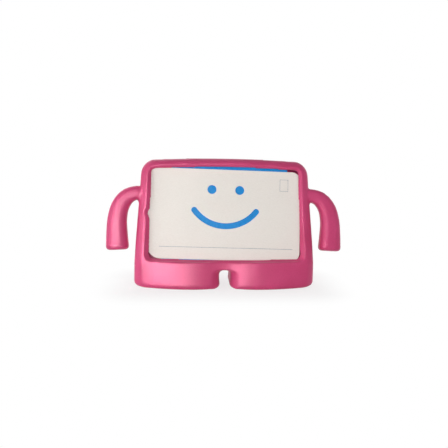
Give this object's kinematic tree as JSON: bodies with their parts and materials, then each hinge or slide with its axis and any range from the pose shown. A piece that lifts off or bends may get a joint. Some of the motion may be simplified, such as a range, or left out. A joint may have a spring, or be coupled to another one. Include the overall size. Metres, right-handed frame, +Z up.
{
  "type": "tablet case",
  "caption": "Soft moulded tablet case with drooping arm handles and broad feet, standing with a plain die-cut display card in its window.",
  "frame": {"origin": "on the floor, under the middle of the whole case", "axes": "+Z up, the screen side faces -Y and leans back towards +Y, +X to the right seen from the front"},
  "size_m": [0.3026, 0.066, 0.1621],
  "materials": {
    "case": "soft satin, pink all through",
    "insert": "matte blue board",
    "card": "matte white card"
  },
  "bodies": {
    "root": {"case_body": "case", "insert_block": "insert", "face_card": "card"}
  },
  "joints": []
}
